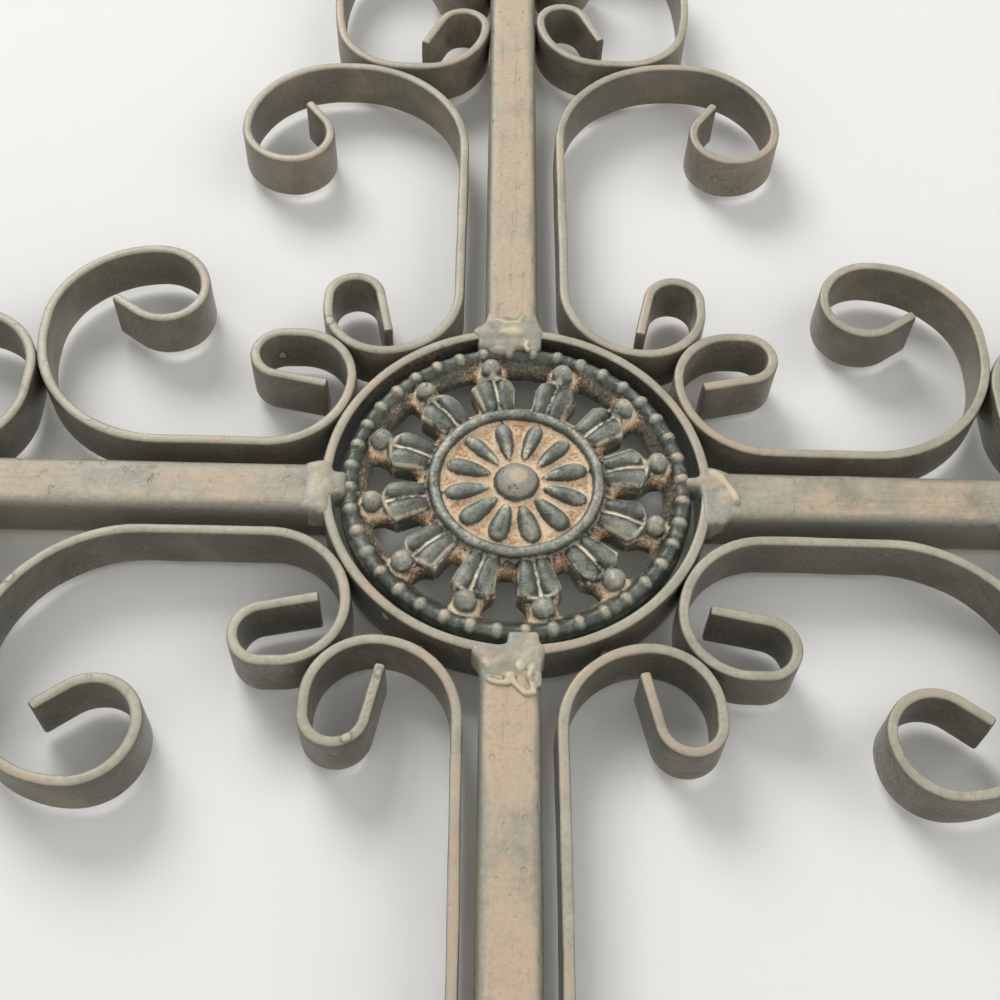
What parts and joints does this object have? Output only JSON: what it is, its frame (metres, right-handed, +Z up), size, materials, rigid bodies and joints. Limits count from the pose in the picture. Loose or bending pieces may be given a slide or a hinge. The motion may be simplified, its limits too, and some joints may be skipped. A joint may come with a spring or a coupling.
{
  "type": "wrought iron cross",
  "caption": "Flat wall-hung Latin cross of square iron bar with a pierced cast rosette in a central ring and C-scrolls of flat strip beside every arm.",
  "frame": {"origin": "on the back of the upper bar, 120 mm above the centre of the ring, where the cross is fixed to the wall", "axes": "+Z up along the upper bar, -Y towards the front, back plane at Y = 0"},
  "size_m": [0.464, 0.0187, 0.662],
  "materials": {
    "bar": "satin grey-green paint under a tan bloom of dust, greyer on the rounded edges",
    "strip": "satin grey-olive paint, dusty on the front edges, darker on the flat sides",
    "rosette": "slate grey-green satin coat on a cast surface, ochre dirt in the recesses"
  },
  "bodies": {
    "root": {"centre_ring": "strip", "cast_rosette": "rosette", "top_bar": "bar", "bottom_bar": "bar", "left_bar": "bar", "right_bar": "bar", "top_scroll_left": "strip", "top_scroll_right": "strip", "bottom_scroll_left": "strip", "bottom_scroll_right": "strip", "left_scroll_upper": "strip", "left_scroll_lower": "strip", "right_scroll_upper": "strip", "right_scroll_lower": "strip", "top_end_scroll_left": "strip", "top_end_scroll_right": "strip", "bottom_end_scroll_left": "strip", "bottom_end_scroll_right": "strip", "left_end_scroll_upper": "strip", "left_end_scroll_lower": "strip", "right_end_scroll_upper": "strip", "right_end_scroll_lower": "strip"}
  },
  "joints": []
}
